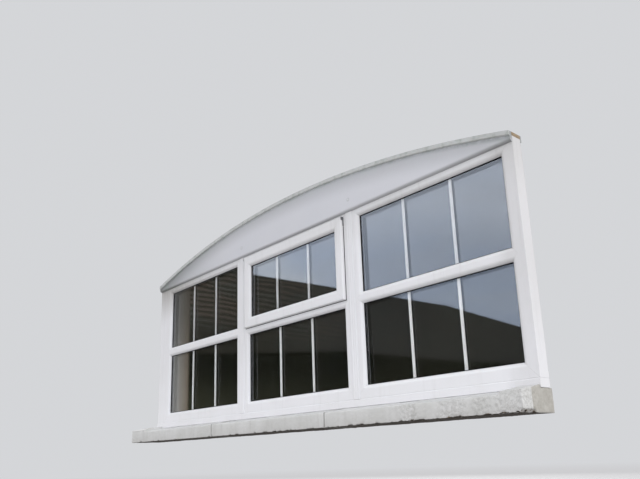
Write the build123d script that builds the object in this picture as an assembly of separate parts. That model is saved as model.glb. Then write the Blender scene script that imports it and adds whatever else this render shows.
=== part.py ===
# Arched three-light window: three coupled plastic frames on a masonry sill, under a bowed head.
#
# Origin: middle of the sill's underside. X runs along the window, Y from the street to the room, Z up.
# Depths inside the window are counted from the outer face of the frames, towards the room.

from math import asin, cos, radians, sin
import os

from build123d import *

# Masonry sill
sill_left_horn = 144.0
sill_projection = 150.0
sill_depth = 235.0
sill_front_height = 79.0
sill_seat_height = 104.0
sill_throat_setback = 28.0
sill_throat_width = 12.0
sill_throat_depth = 8.0
stool_rise = 13.0
stool_reach = 72.0
right_stool_length = 107.0
left_slab_length = 1177.0
centre_slab_length = 1117.0
slab_joint = 8.0
slab_joint_recess = 4.0
chip_length = 96.0
chip_height = 14.0
chip_width = 22.0

# Stub cill and extension
stub_cill_height = 40.0
stub_cill_nose = 4.0
extension_width = 98.0
extension_chambers = 3
plastic_wall = 3.0
edge_chamfer = 1.0

# Frames
light_count = 3
frame_width = 1082.0
frame_height = 1100.0
frame_depth = 70.0
frame_sight = 70.5
transom_sight = 65.0
ovolo_run = 20.0
ovolo_depth = 17.0
ovolo_lip = 3.0
ovolo_sweep = 50.0
ovolo_facets = 5
rebate_height = 20.0
bead_groove_depth = 2.0
bead_groove_width = 4.0
bead_groove_offset = 8.0

# Coupling between the frames
coupling_gap = 3.0
fit_gap = 0.3
coupling_bar_setback = 6.0
cover_width = 49.0
cover_thickness = 4.0
cover_ribs = 3
cover_rib_rise = 1.6
cover_stem = 5.0
inner_cover_width = 30.0
inner_cover_thickness = 3.0

# Sealed units
pane_thickness = 4.0
cavity = 20.0
unit_edge_gap = 5.0
spacer_width = 12.0
gasket_thickness = 3.0
gasket_root = 8.0
gasket_lip = 4.0
bar_width = 17.0
bar_thickness = 8.0
bar_bevel = 2.5
bars_per_light = 2
bead_slope = 6.0
bead_clearance = 0.1
mitre_gap = 0.2
packer_length = 100.0
packer_count = 2

# Top-hung sash
flange_overlap = 24.0
flange_front = 20.0
flange_gap = 2.0
sash_sight = 69.0
sash_rebate = 15.0
sash_body_gap = 12.0
sash_inner_depth = 50.0
seal_inset = 14.0
seal_width = 7.0

# Sash pivots
sash_travel = 35.0
pivot_radius = 3.0
pivot_length = 22.0
running_gap = 0.05
ear_thickness = 3.0
ear_gap = 0.6
foot_thickness = 1.5
foot_width = 12.0
foot_drop = 46.0

# Stay arms and their tracks
arm_length = 170.0
arm_inset = 26.0
arm_width = 14.0
arm_thickness = 3.0
arm_gap = 0.3
stay_plate_thickness = 2.2
stay_plate_length = 64.0
stud_head = 1.4
stud_head_radius = 5.0
track_gap = 2.0
track_width = 18.0
track_end = 14.0
slot_clearance = 0.6
slot_run_out = 5.0
pin_reach = 9.0

# Handle and lock
rose_length = 70.0
rose_width = 17.0
rose_thickness = 8.0
handle_neck_radius = 7.0
handle_gap = 0.3
handle_neck_length = 6.0
lever_length = 118.0
lever_width = 17.0
lever_tip_width = 13.0
lever_thickness = 12.0
spindle_radius = 3.5
spindle_length = 34.0
rod_length = 424.0
rod_width = 12.0
rod_thickness = 3.0
rod_gap = 0.4
rod_travel = 20.0
lock_line = 31.0
faceplate_length = 580.0
faceplate_width = 18.0
faceplate_thickness = 2.0
cam_spacing = 400.0
cam_radius = 4.5
cam_height = 4.0
cam_clearance = 3.5
cam_stem_radius = 2.5
cam_slot_clearance = 0.3
keep_length = 40.0
keep_depth = 20.0
keep_lip_length = 25.0
keep_lip_thickness = 4.5
keep_lip_rise = 5.5
keep_gap = 0.5
keep_entry = 2.5
keep_top_drop = 2.0

# Arched head
arch_springing = 19.0
arch_rise = 223.6
board_thickness = 18.0
board_nose_radius = 17.0
board_overlap = 30.0
inner_board_thickness = 9.0
inner_board_overlap = 12.0
trim_width = 24.0
trim_thickness = 6.0
trim_bevel = 4.0

# Places that follow from the sizes
light_pitch = frame_width + coupling_gap
frames_width = light_count * frame_width + (light_count - 1) * coupling_gap
window_width = extension_width + frames_width
sill_length = sill_left_horn + window_width
window_left = -sill_length / 2 + sill_left_horn
window_right = window_left + window_width
frames_left = window_left + extension_width
face_y = sill_projection - sill_depth / 2
frame_base = sill_seat_height + stub_cill_height
frame_top = frame_base + frame_height
frame_middle = frame_base + frame_height / 2
glass_depth = ovolo_depth + gasket_thickness
unit_thickness = 2 * pane_thickness + cavity
light_width = frame_width - 2 * frame_sight
light_height = (frame_height - 2 * frame_sight - transom_sight) / 2
lower_light_z = frame_base + frame_sight + light_height / 2
upper_light_z = frame_top - frame_sight - light_height / 2
light_xs = [frames_left + frame_width / 2 + i * light_pitch for i in range(light_count)]
bar_spacing = light_width / (bars_per_light + 1)
board_bottom = frame_top - board_overlap

# The sash sits in the upper opening of the centre frame
sash_x = light_xs[1]
sash_z = upper_light_z
opening_half_width = light_width / 2
opening_half_height = light_height / 2
opening_bottom = sash_z - opening_half_height
opening_top = sash_z + opening_half_height
flange_width = light_width + 2 * flange_overlap
flange_height = light_height + 2 * flange_overlap
flange_thickness = flange_front - flange_gap
sash_light_width = flange_width - 2 * sash_sight
sash_light_height = flange_height - 2 * sash_sight
sash_glass_depth = ovolo_depth + gasket_thickness - flange_front
body_half_width = opening_half_width - sash_body_gap
body_bottom = opening_bottom + sash_body_gap

# The pivot axis is the centre of the sash's rounded top edge
nose_radius = flange_thickness / 2
pivot_y = face_y - flange_gap - nose_radius
pivot_z = opening_top + flange_overlap - nose_radius

# The stay arms close along one line through the pivot axis
arm_lean = asin(arm_inset / arm_length)
lean_y = sin(arm_lean)
lean_z = -cos(arm_lean)

parts = {}


def keep(name, shape):
    shape.label = name
    parts[name] = shape


def box(x_range, y_range, z_range):
    # Box between pairs of limits
    sizes = [limits[1] - limits[0] for limits in (x_range, y_range, z_range)]
    middles = [(limits[1] + limits[0]) / 2 for limits in (x_range, y_range, z_range)]
    return Pos(*middles) * Box(*sizes)


def depths(first, last):
    # Y limits from two depths behind the frames' outer face
    return (face_y + first, face_y + last)


def profile(points, length_range):
    # A section of (depth, height) points, run along X between two limits
    corners = [(length_range[0], face_y + depth, height) for depth, height in points]
    face = Face(Wire.make_polygon(corners, close=True))
    return extrude(face, amount=length_range[1] - length_range[0], dir=(1, 0, 0))


def upright(points, x_middle, z_range):
    # A section of (width, depth) points, run upwards between two limits
    corners = [(x_middle + width, face_y + depth, z_range[0]) for width, depth in points]
    face = Face(Wire.make_polygon(corners, close=True))
    return extrude(face, amount=z_range[1] - z_range[0], dir=(0, 0, 1))


def ring(width, height, section, x_middle, z_middle):
    # A section of (inset, depth) points, run round a rectangle with mitred corners
    half_width = width / 2
    half_height = height / 2
    rectangle = [(0, -half_height), (half_width, -half_height), (half_width, half_height)]
    rectangle += [(-half_width, half_height), (-half_width, -half_height)]
    path = Polyline(*[(x, 0, z) for x, z in rectangle], close=True)
    corners = [(0, depth, inset - half_height) for inset, depth in section]
    face = Face(Wire.make_polygon(corners, close=True))
    swept = sweep(face, path=path, transition=Transition.RIGHT)
    return Pos(x_middle, face_y, z_middle) * swept


def rod(radius, start, end):
    # Round bar between two points
    line = Vector(*end) - Vector(*start)
    plane = Plane(origin=start, z_dir=line)
    return extrude(plane * Circle(radius), amount=line.length)


def stadium(origin, side, along, length, width, thickness):
    # Plate with round ends, from a point along the stay line, thickness towards the frame side
    plane = Plane(origin=origin, x_dir=along, z_dir=(side, 0, 0))
    outline = plane * Pos(length / 2, 0) * SlotCenterToCenter(length, width)
    return extrude(outline, amount=thickness)


def mitre_cuts(width, height, x_middle, z_middle, reach):
    # Thin diagonal slices through the four corners of a rectangle
    cuts = []
    for x_side in (-1, 1):
        for z_side in (-1, 1):
            corner = Pos(x_middle + x_side * width / 2, face_y, z_middle + z_side * height / 2)
            turn = Rot(0, 45 * x_side * z_side, 0)
            cuts.append(corner * turn * Box(mitre_gap, 4 * reach, 4 * reach))
    return cuts


# Masonry sill

def sill_section(rise):
    # Weathered top, raised by the stool's rise, with a throat under the front edge
    back = sill_depth - sill_projection
    throat = sill_throat_setback - sill_projection
    points = [(-sill_projection, 0), (throat, 0), (throat, sill_throat_depth)]
    points += [(throat + sill_throat_width, sill_throat_depth), (throat + sill_throat_width, 0)]
    points += [(back, 0), (back, sill_seat_height + rise)]
    points += [(-stub_cill_nose, sill_seat_height + rise)]
    points += [(-sill_projection, sill_front_height + rise)]
    return points


def stool(end_x, inner_x):
    # Raised seat at an end of the sill, cut back where the window stands
    seat = profile(sill_section(stool_rise), sorted((end_x, inner_x)))
    return seat - box((window_left - fit_gap, window_right + fit_gap),
                      depths(-stub_cill_nose - fit_gap, sill_depth),
                      (sill_seat_height, sill_seat_height + sill_depth))


slab_ends = [-sill_length / 2, -sill_length / 2 + left_slab_length]
slab_ends += [slab_ends[1] + slab_joint + centre_slab_length, sill_length / 2]
slab_names = ("sill_slab_left", "sill_slab_centre", "sill_slab_right")
slabs = []
for index in range(len(slab_names)):
    start = slab_ends[index] + (slab_joint if index else 0)
    slabs.append(profile(sill_section(0), (start, slab_ends[index + 1])))
slabs[0] += stool(-sill_length / 2, window_left + stool_reach)
slabs[-1] += stool(sill_length / 2, sill_length / 2 - right_stool_length)

# The lower edge of the right end is broken off
broken = Face(Wire.make_polygon([
    (sill_length / 2 - chip_width, face_y - sill_projection, 0),
    (sill_length / 2, face_y - sill_projection, 0),
    (sill_length / 2, face_y - sill_projection, chip_height),
], close=True))
slabs[-1] -= extrude(broken, amount=chip_length, dir=(0, 1, 0))
for name, slab in zip(slab_names, slabs):
    keep(name, slab)

joints = Part()
for joint_start in slab_ends[1:-1]:
    mortar = profile(sill_section(0), (joint_start, joint_start + slab_joint))
    joints += mortar - box((joint_start, joint_start + slab_joint),
                           depths(-sill_projection, slab_joint_recess - sill_projection),
                           (0, sill_seat_height))
keep("sill_joints", joints)


# Stub cill and the extension at the left reveal

cill_points = [(-stub_cill_nose, sill_seat_height), (frame_depth, sill_seat_height)]
cill_points += [(frame_depth, frame_base), (0, frame_base)]
cill_points += [(-stub_cill_nose, frame_base - stub_cill_nose)]
keep("stub_cill", profile(cill_points, (window_left, window_right)))

extension = box((window_left, frames_left), depths(0, frame_depth), (frame_base, frame_top))
extension = chamfer(extension.edges().filter_by(Axis.Z), edge_chamfer)
chamber_pitch = (extension_width - plastic_wall) / extension_chambers
for index in range(extension_chambers):
    chamber_start = window_left + plastic_wall + index * chamber_pitch
    extension -= box((chamber_start, chamber_start + chamber_pitch - plastic_wall),
                     depths(plastic_wall, frame_depth - plastic_wall), (frame_base, frame_top))
keep("extension_profile", extension)


# Frames

def groove_points(platform, step):
    # Notch for the bead's foot in a platform that runs towards the room
    start = frame_depth - bead_groove_offset - bead_groove_width
    floor = platform - step * bead_groove_depth
    return [(platform, start), (floor, start), (floor, start + bead_groove_width),
            (platform, start + bead_groove_width)]


def rounding(edge, side, run, depth, front, sweep):
    # Curve from a member's face to its edge, as (inset, depth) points
    points = []
    for index in range(ovolo_facets + 1):
        turn = radians(sweep * index / ovolo_facets)
        across = sin(turn) / sin(radians(sweep))
        down = (1 - cos(turn)) / (1 - cos(radians(sweep)))
        points.append((edge - side * run * (1 - across), front + depth * down))
    return points


def ovolo(edge, front):
    # Rounded nosing beside the glass, with a short straight lip down to the gasket
    curve = rounding(edge, 1, ovolo_run, ovolo_depth - ovolo_lip, front, ovolo_sweep)
    return curve + [(edge, front + ovolo_depth)]


def frame_section():
    platform = frame_sight - rebate_height
    points = [(edge_chamfer, 0)] + ovolo(frame_sight, 0)
    points += [(platform, ovolo_depth)] + groove_points(platform, 1)
    points += [(platform, frame_depth), (0, frame_depth), (0, edge_chamfer)]
    return points


def transom_section():
    # Symmetric section as (depth, height) points about the transom's middle
    platform = transom_sight / 2 - rebate_height
    upper = [(depth, inset) for inset, depth in ovolo(transom_sight / 2, 0)]
    upper += [(ovolo_depth, platform)]
    upper += [(depth, inset) for inset, depth in groove_points(platform, 1)]
    upper += [(frame_depth, platform)]
    lower = [(depth, -height) for depth, height in reversed(upper)]
    return [(depth, frame_middle + height) for depth, height in upper + lower]


def welded_frame(x_middle):
    frame = ring(frame_width, frame_height, frame_section(), x_middle, frame_middle)
    reach = frame_width / 2 - frame_sight / 2
    return frame + profile(transom_section(), (x_middle - reach, x_middle + reach))


frame_names = ("left_frame", "centre_frame", "right_frame")
for name, x_middle in zip(frame_names, light_xs):
    keep(name, welded_frame(x_middle))


# Coupling bars and their cover strips

bars = Part()
outer_covers = Part()
inner_covers = Part()
joint_xs = [(light_xs[i] + light_xs[i + 1]) / 2 for i in range(light_count - 1)]
half_stem = coupling_gap / 2 - fit_gap


def ribbed_cover(joint_x, z_range):
    # Strip with rounded ribs side by side on its face, and a stem into the gap
    rib_width = cover_width / cover_ribs
    edges = []
    valley = cover_rib_rise - cover_thickness
    for index in range(cover_ribs):
        first = index * rib_width - cover_width / 2
        edges.append(ThreePointArc((first, valley), (first + rib_width / 2, -cover_thickness),
                                   (first + rib_width, valley)))
    edges.append(Polyline((cover_width / 2, valley), (cover_width / 2, 0), (half_stem, 0),
                          (half_stem, cover_stem), (-half_stem, cover_stem), (-half_stem, 0),
                          (-cover_width / 2, 0), (-cover_width / 2, valley)))
    face = make_face(edges)
    return Pos(joint_x, face_y, z_range[0]) * extrude(face, amount=z_range[1] - z_range[0],
                                                      dir=(0, 0, 1))


half_inner = inner_cover_width / 2
inner_face = frame_depth + inner_cover_thickness
inner_points = [(half_inner, frame_depth), (half_inner - edge_chamfer, inner_face)]
inner_points += [(edge_chamfer - half_inner, inner_face), (-half_inner, frame_depth)]
inner_points += [(-half_stem, frame_depth), (-half_stem, frame_depth - cover_stem)]
inner_points += [(half_stem, frame_depth - cover_stem), (half_stem, frame_depth)]
for joint_x in joint_xs:
    bars += box((joint_x - coupling_gap / 2, joint_x + coupling_gap / 2),
                depths(coupling_bar_setback, frame_depth - coupling_bar_setback),
                (frame_base, frame_top))
    outer_covers += ribbed_cover(joint_x, (frame_base, board_bottom - fit_gap))
    inner_covers += upright(inner_points, joint_x,
                            (frame_base, frame_top - inner_board_overlap - fit_gap))
keep("coupling_bars", bars)
keep("outer_coupling_covers", outer_covers)
keep("inner_coupling_covers", inner_covers)


# Arched head

arch_x = (window_left + window_right) / 2
arch_radius = (window_width ** 2 / 4 + arch_rise ** 2) / (2 * arch_rise)
arch_z = frame_top + arch_springing + arch_rise - arch_radius


def arch_slab(bottom, first, last):
    # Everything under the arch and above a level, between two depths
    block = box((window_left, window_right), depths(first, last),
                (bottom, arch_z + arch_radius))
    plane = Plane(origin=(arch_x, face_y + first, arch_z), z_dir=(0, 1, 0))
    return block & extrude(plane * Circle(arch_radius), amount=last - first)


board = arch_slab(board_bottom, -board_thickness, 0)
nose_edge = board.edges().filter_by(Axis.X).group_by(Axis.Z)[0].sort_by(Axis.Y)[0]
keep("arch_board", fillet(nose_edge, board_nose_radius))
keep("arch_core", arch_slab(frame_top, 0, frame_depth))
keep("inner_arch_board", arch_slab(frame_top - inner_board_overlap, frame_depth,
                                   frame_depth + inner_board_thickness))

trim_front = -board_thickness - trim_thickness
trim = arch_slab(board_bottom, trim_front, -board_thickness)
trim_plane = Plane(origin=(arch_x, face_y + trim_front, arch_z), z_dir=(0, 1, 0))
inner_radius = arch_radius - trim_width
bevelled = extrude(trim_plane * Circle(inner_radius), amount=trim_thickness)
bevelled += Solid.make_cone(inner_radius + trim_bevel, inner_radius, trim_bevel, trim_plane)
keep("arch_trim", trim - bevelled)


# Sealed units, gaskets and beads

def glaze(name, x_middle, z_middle, width, height, rebate, glass_front, inner_face_depth):
    # One sealed unit with its bars, beads, gaskets and packers; the last three are returned
    unit_width = width + 2 * (rebate - unit_edge_gap)
    unit_height = height + 2 * (rebate - unit_edge_gap)
    half_width = unit_width / 2
    half_height = unit_height / 2
    glass_back = glass_front + unit_thickness
    for pane, first in (("outer_pane", glass_front), ("inner_pane", glass_back - pane_thickness)):
        keep(f"{name}_{pane}", box((x_middle - half_width, x_middle + half_width),
                                   depths(first, first + pane_thickness),
                                   (z_middle - half_height, z_middle + half_height)))
    cavity_front = glass_front + pane_thickness
    spacer_points = [(0, cavity_front), (spacer_width, cavity_front)]
    spacer_points += [(spacer_width, cavity_front + cavity), (0, cavity_front + cavity)]
    keep(f"{name}_spacer", ring(unit_width, unit_height, spacer_points, x_middle, z_middle))

    bar_reach = half_height - spacer_width
    bar_depth = cavity_front + cavity / 2
    half_bar = bar_width / 2
    half_thick = bar_thickness / 2
    outline = [(half_bar, half_thick - bar_bevel), (half_bar - bar_bevel, half_thick)]
    outline += [(-width_point, depth_point) for width_point, depth_point in reversed(outline)]
    outline += [(-width_point, -depth_point) for width_point, depth_point in outline]
    outline = [(width_point, bar_depth + depth_point) for width_point, depth_point in outline]
    grid = Part()
    for index in range(bars_per_light):
        bar_x = x_middle + (index - (bars_per_light - 1) / 2) * bar_spacing
        grid += upright(outline, bar_x, (z_middle - bar_reach, z_middle + bar_reach))
    keep(f"{name}_bars", grid)

    root_width = width + 2 * gasket_root
    root_height = height + 2 * gasket_root
    lip = gasket_root + gasket_lip
    outer_front = glass_front - gasket_thickness
    outer = [(0, outer_front), (gasket_root, outer_front), (lip, glass_front - edge_chamfer)]
    outer += [(lip, glass_front), (0, glass_front)]
    inner_back = glass_back + gasket_thickness
    inner = [(0, glass_back), (lip, glass_back), (lip, glass_back + edge_chamfer)]
    inner += [(gasket_root, inner_back), (0, inner_back)]
    gaskets = ring(root_width, root_height, outer, x_middle, z_middle)
    gaskets += ring(root_width, root_height, inner, x_middle, z_middle)

    groove = inner_face_depth - bead_groove_offset - bead_groove_width
    foot = bead_clearance - bead_groove_depth
    bead = [(bead_clearance, inner_back), (rebate, inner_back), (rebate, inner_back + bead_slope)]
    bead += [(rebate - bead_slope, inner_face_depth), (bead_clearance, inner_face_depth)]
    bead += [(bead_clearance, groove + bead_groove_width - bead_clearance)]
    bead += [(foot, groove + bead_groove_width - bead_clearance), (foot, groove + bead_clearance)]
    bead += [(bead_clearance, groove + bead_clearance)]
    bead_width = width + 2 * rebate
    bead_height = height + 2 * rebate
    beads = ring(bead_width, bead_height, bead, x_middle, z_middle)
    for cut in mitre_cuts(bead_width, bead_height, x_middle, z_middle, rebate + frame_depth):
        beads -= cut

    packers = Part()
    for index in range(packer_count):
        packer_x = x_middle + (index - (packer_count - 1) / 2) * width / packer_count
        packers += box((packer_x - packer_length / 2, packer_x + packer_length / 2),
                       depths(glass_front, glass_back),
                       (z_middle - half_height - unit_edge_gap, z_middle - half_height))
    return gaskets, beads, packers


frame_gaskets = Part()
packers = Part()
fixed_lights = {
    "left_frame": (("left_lower", light_xs[0], lower_light_z), ("left_upper", light_xs[0], upper_light_z)),
    "centre_frame": (("centre_lower", light_xs[1], lower_light_z),),
    "right_frame": (("right_lower", light_xs[2], lower_light_z), ("right_upper", light_xs[2], upper_light_z)),
}
for frame_name, lights in fixed_lights.items():
    frame_beads = Part()
    for light_name, x_middle, z_middle in lights:
        rings, beads, blocks = glaze(light_name, x_middle, z_middle, light_width, light_height,
                                     rebate_height, glass_depth, frame_depth)
        frame_gaskets += rings
        frame_beads += beads
        packers += blocks
    keep(f"{frame_name}_beads", frame_beads)
keep("frame_gaskets", frame_gaskets)
rings, beads, blocks = glaze("sash", sash_x, sash_z, sash_light_width, sash_light_height,
                             sash_rebate, sash_glass_depth, sash_inner_depth)
keep("sash_gaskets", rings)
keep("sash_beads", beads)
keep("sash_packers", blocks)
keep("glazing_packers", packers)


# Sash

def sash_section():
    # Overlapping flange outside, as round at its outer edge as at the pivots, narrow body inside
    front = -flange_front
    platform = sash_sight - sash_rebate
    body = flange_overlap + sash_body_gap
    start = sash_inner_depth - bead_groove_offset - bead_groove_width
    floor = platform - bead_groove_depth
    points = ovolo(sash_sight, front) + [(platform, front + ovolo_depth)]
    points += [(platform, start), (floor, start), (floor, start + bead_groove_width)]
    points += [(platform, start + bead_groove_width), (platform, sash_inner_depth)]
    points += [(body, sash_inner_depth), (body, -flange_gap), (0, -flange_gap)]
    return points + rounding(0, -1, nose_radius, nose_radius, front, 90)[::-1]


sash = ring(flange_width, flange_height, sash_section(), sash_x, sash_z)
top = opening_top + flange_overlap
flange_half = flange_width / 2
nose_corner = box((sash_x - flange_half, sash_x + flange_half),
                  (pivot_y - nose_radius, pivot_y + nose_radius), (pivot_z, top))
nose = rod(nose_radius, (sash_x - flange_half, pivot_y, pivot_z),
           (sash_x + flange_half, pivot_y, pivot_z))
sash = (sash - nose_corner) + nose
for side in (-1, 1):
    end_x = sash_x + side * flange_half
    inner_x = end_x - side * (pivot_length + running_gap + ear_gap)
    sash -= rod(pivot_radius + running_gap, (inner_x, pivot_y, pivot_z),
                (end_x + side, pivot_y, pivot_z))

groove_height = rod_thickness + 2 * rod_gap
sash -= box((sash_x - faceplate_length / 2, sash_x + faceplate_length / 2),
            depths(lock_line - rod_width / 2 - rod_gap, lock_line + rod_width / 2 + rod_gap),
            (body_bottom, body_bottom + groove_height))
handle_z = body_bottom + (sash_sight - sash_rebate - flange_overlap - sash_body_gap) / 2
handle_y = face_y + sash_inner_depth
sash -= rod(spindle_radius + running_gap, (sash_x, handle_y, handle_z),
            (sash_x, handle_y - spindle_length, handle_z))
keep("sash_frame", sash)

seal_points = [(0, -flange_gap), (seal_width, -flange_gap), (seal_width, -fit_gap)]
seal_points += [(0, -fit_gap)]
keep("sash_seal", ring(flange_width - 2 * seal_inset, flange_height - 2 * seal_inset,
                       seal_points, sash_x, sash_z))

brackets = Part()
for side in (-1, 1):
    ear_inner = sash_x + side * (flange_half + ear_gap)
    ear_outer = ear_inner + side * ear_thickness
    ear_front = pivot_y - nose_radius
    ear = box(sorted((ear_inner, ear_outer)), (ear_front, face_y),
              (pivot_z - foot_drop, pivot_z + nose_radius))
    ear -= box(sorted((ear_inner, ear_outer)), (ear_front, face_y - foot_thickness - nose_radius / 2),
               (pivot_z - foot_drop, pivot_z - nose_radius))
    foot_x = sash_x + side * (flange_half - foot_width)
    foot = box(sorted((foot_x, ear_outer)), depths(-foot_thickness, 0),
               (pivot_z - foot_drop, pivot_z + nose_radius))
    pin = rod(pivot_radius, (ear_inner - side * pivot_length, pivot_y, pivot_z),
              (ear_outer, pivot_y, pivot_z))
    brackets += ear + foot + pin
keep("pivot_brackets", brackets)


# Stay arms, their sash plates and their tracks

def stay_point(x, distance):
    # Point on the stay line, at a distance from the pivot axis
    return (x, pivot_y + lean_y * distance, pivot_z + lean_z * distance)


plates = Part()
tracks = Part()
slot_start = 2 * arm_length * cos(radians(sash_travel))
for side, side_name in ((-1, "left"), (1, "right")):
    along = (0, lean_y, lean_z)
    body_x = sash_x + side * body_half_width
    plate_x = body_x + side * stay_plate_thickness
    arm_x = plate_x + side * arm_gap
    arm_face = arm_x + side * arm_thickness
    plate_start = arm_length - stay_plate_length / 2
    plate = stadium(stay_point(body_x, plate_start), side, along, stay_plate_length, arm_width,
                    stay_plate_thickness)
    plate += rod(pivot_radius, stay_point(body_x, arm_length),
                 stay_point(arm_face + side * (arm_gap + stud_head), arm_length))
    plate += rod(stud_head_radius, stay_point(arm_face + side * arm_gap, arm_length),
                 stay_point(arm_face + side * (arm_gap + stud_head), arm_length))
    plates += plate

    arm = stadium(stay_point(arm_x, arm_length), side, along, arm_length, arm_width, arm_thickness)
    arm -= rod(pivot_radius + running_gap, stay_point(arm_x - side, arm_length),
               stay_point(arm_face + side, arm_length))
    arm += rod(pivot_radius, stay_point(arm_x, 2 * arm_length),
               stay_point(arm_face + side * pin_reach, 2 * arm_length))
    keep(f"{side_name}_stay_arm", arm)

    track_x = arm_face + side * track_gap
    platform_x = sash_x + side * (opening_half_width + rebate_height)
    track_start = slot_start - track_end
    track_length = 2 * arm_length + track_end - track_start
    corner_plane = Plane(origin=stay_point(track_x, track_start), x_dir=along, z_dir=(side, 0, 0))
    outline = corner_plane * Pos(track_length / 2, 0) * Rectangle(track_length, track_width)
    track_depth = abs(platform_x - track_x)
    track = extrude(outline, amount=track_depth)
    slot_length = 2 * arm_length + 2 * slot_run_out - slot_start
    track -= stadium(stay_point(track_x, slot_start - slot_run_out), side, along, slot_length,
                     2 * (pivot_radius + slot_clearance), track_depth)
    tracks += track
keep("stay_plates", plates)
keep("stay_tracks", tracks)


# Handle, lock rod and keeps

rose_front = handle_y + rose_thickness
rose = box((sash_x - rose_length / 2, sash_x + rose_length / 2), (handle_y, rose_front),
           (handle_z - rose_width / 2, handle_z + rose_width / 2))
rose = fillet(rose.edges().filter_by(Axis.Y), rose_width / 3)
rose = chamfer(rose.faces().sort_by(Axis.Y)[-1].edges(), 2 * edge_chamfer)
rose -= rod(spindle_radius + running_gap, (sash_x, handle_y, handle_z), (sash_x, rose_front, handle_z))
keep("handle_rose", rose)

neck_start = rose_front + handle_gap
lever_start = neck_start + handle_neck_length
handle = rod(handle_neck_radius, (sash_x, neck_start, handle_z), (sash_x, lever_start, handle_z))
lever_plane = Plane(origin=(sash_x, lever_start, handle_z), x_dir=(1, 0, 0), z_dir=(0, 1, 0))
lever_ends = Circle(lever_width / 2).edges()
lever_ends += (Pos(0, lever_width / 2 - lever_length) * Circle(lever_tip_width / 2)).edges()
lever = extrude(lever_plane * make_hull(lever_ends), amount=lever_thickness)
lever = fillet(lever.faces().sort_by(Axis.Y)[-1].edges(), lever_thickness / 3)
handle += lever
handle += rod(spindle_radius, (sash_x, handle_y - spindle_length + running_gap, handle_z),
              (sash_x, neck_start, handle_z))
keep("handle", handle)

rod_bottom = body_bottom + rod_gap
lock_rod = box((sash_x - rod_length / 2, sash_x + rod_length / 2),
               depths(lock_line - rod_width / 2, lock_line + rod_width / 2),
               (rod_bottom, rod_bottom + rod_thickness))
faceplate = box((sash_x - faceplate_length / 2, sash_x + faceplate_length / 2),
                depths(lock_line - faceplate_width / 2, lock_line + faceplate_width / 2),
                (body_bottom - faceplate_thickness, body_bottom))
keeps = Part()
cam_bottom = opening_bottom + cam_clearance
for side in (-1, 1):
    cam_x = sash_x + side * cam_spacing / 2
    lock_y = face_y + lock_line
    lock_rod += rod(cam_stem_radius, (cam_x, lock_y, cam_bottom), (cam_x, lock_y, rod_bottom + rod_gap))
    lock_rod += rod(cam_radius, (cam_x, lock_y, cam_bottom), (cam_x, lock_y, cam_bottom + cam_height))
    slot_plane = Plane(origin=(cam_x + rod_travel / 2, lock_y, body_bottom - faceplate_thickness))
    slot_outline = slot_plane * SlotCenterToCenter(rod_travel, 2 * (cam_stem_radius + cam_slot_clearance))
    faceplate -= extrude(slot_outline, amount=faceplate_thickness)

    lip_start = cam_x + cam_radius + keep_entry
    lip_back = lock_line - cam_radius - keep_gap
    keep_range = (lip_start - (keep_length - keep_lip_length) / 2,
                  lip_start + (keep_length + keep_lip_length) / 2)
    keep_front = lip_back - keep_lip_thickness
    keeps += box(keep_range, depths(keep_front, keep_front + keep_depth),
                 (opening_bottom - rebate_height, opening_bottom - keep_top_drop))
    keeps += box((lip_start, lip_start + keep_lip_length), depths(keep_front, lip_back),
                 (opening_bottom - keep_top_drop, opening_bottom + keep_lip_rise))
keep("lock_rod", lock_rod)
keep("lock_faceplate", faceplate)
keep("lock_keeps", keeps)


# One file for each piece

os.makedirs("parts", exist_ok=True)
for name, shape in parts.items():
    export_step(shape, f"parts/{name}.step")
print(len(parts), "pieces")
print("stay pin travel", round(2 * arm_length - slot_start, 1), "mm")
print("pivot", round(sash_x, 3), round(pivot_y, 3), round(pivot_z, 3))
print("stay stud", [round(value, 3) for value in stay_point(sash_x, arm_length)])
print("handle", round(sash_x, 3), round(handle_y, 3), round(handle_z, 3))
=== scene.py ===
import math

import bmesh
import bpy
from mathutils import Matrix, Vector, noise


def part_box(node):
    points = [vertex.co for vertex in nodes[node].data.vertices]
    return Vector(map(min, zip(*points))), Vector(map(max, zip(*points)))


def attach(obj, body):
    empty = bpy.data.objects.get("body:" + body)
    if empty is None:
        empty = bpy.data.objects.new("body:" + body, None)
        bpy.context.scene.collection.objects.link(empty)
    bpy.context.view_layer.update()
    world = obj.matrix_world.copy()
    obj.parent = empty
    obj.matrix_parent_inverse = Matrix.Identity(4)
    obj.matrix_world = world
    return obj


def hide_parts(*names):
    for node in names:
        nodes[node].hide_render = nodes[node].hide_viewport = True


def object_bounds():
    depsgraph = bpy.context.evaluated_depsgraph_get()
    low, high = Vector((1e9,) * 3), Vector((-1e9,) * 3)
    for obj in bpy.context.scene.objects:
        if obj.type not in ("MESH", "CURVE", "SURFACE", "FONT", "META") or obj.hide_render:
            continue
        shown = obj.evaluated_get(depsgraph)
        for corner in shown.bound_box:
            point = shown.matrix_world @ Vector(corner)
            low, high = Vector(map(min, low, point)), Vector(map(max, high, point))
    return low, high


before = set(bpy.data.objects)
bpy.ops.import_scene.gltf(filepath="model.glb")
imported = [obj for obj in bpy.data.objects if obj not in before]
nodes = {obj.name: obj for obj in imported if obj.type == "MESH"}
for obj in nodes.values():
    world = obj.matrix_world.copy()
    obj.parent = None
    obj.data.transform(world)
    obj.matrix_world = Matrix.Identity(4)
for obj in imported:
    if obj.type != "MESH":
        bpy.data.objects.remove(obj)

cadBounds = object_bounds()
lightNames = ("left_upper", "left_lower", "centre_lower", "right_upper", "right_lower", "sash")
frameNames = ("left_frame", "centre_frame", "right_frame")
print("frame loaded:", len(nodes), "nodes")


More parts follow.
